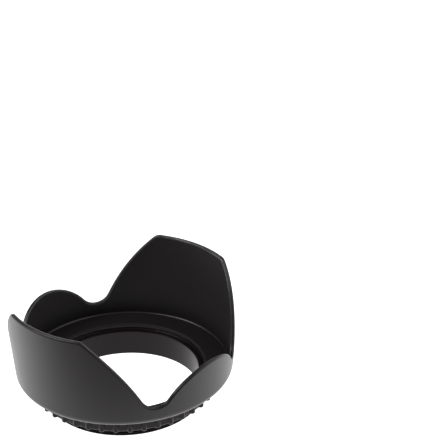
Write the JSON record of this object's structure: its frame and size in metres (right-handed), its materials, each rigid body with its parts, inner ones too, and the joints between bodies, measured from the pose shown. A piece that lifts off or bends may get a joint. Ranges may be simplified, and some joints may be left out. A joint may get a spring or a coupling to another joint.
{
  "type": "lens hood",
  "caption": "Screw-in petal lens hood: a flared shade with tall and short petals, on a threaded mount tube with a studded locking ring.",
  "frame": {"origin": "centre of the mount tube's lower end, on which the hood stands", "axes": "+Z along the optical axis away from the lens, the tall petals at +Y and -Y, the short petals at +X and -X"},
  "size_m": [0.0942, 0.097, 0.0517],
  "materials": {
    "shade_plastic": "black moulded, satin with a very fine grain",
    "tube_plastic": "black moulded, smooth semi-gloss",
    "ring_plastic": "black moulded, satin"
  },
  "bodies": {
    "mount": {"mount_tube": "tube_plastic"},
    "ring": {"locking_ring": "ring_plastic"},
    "hood": {"shade": "shade_plastic"}
  },
  "joints": [
    {"name": "shade_turn", "type": "hinge", "parent": "mount", "child": "hood", "pos_m": [0, 0, 0.0099], "axis": [0, 0, 1], "range_deg": [-90, 90]},
    {"name": "ring_turn", "type": "hinge", "parent": "mount", "child": "ring", "pos_m": [0, 0, 0.00675], "axis": [0, 0, 1], "range_deg": [-624, 0]}
  ]
}
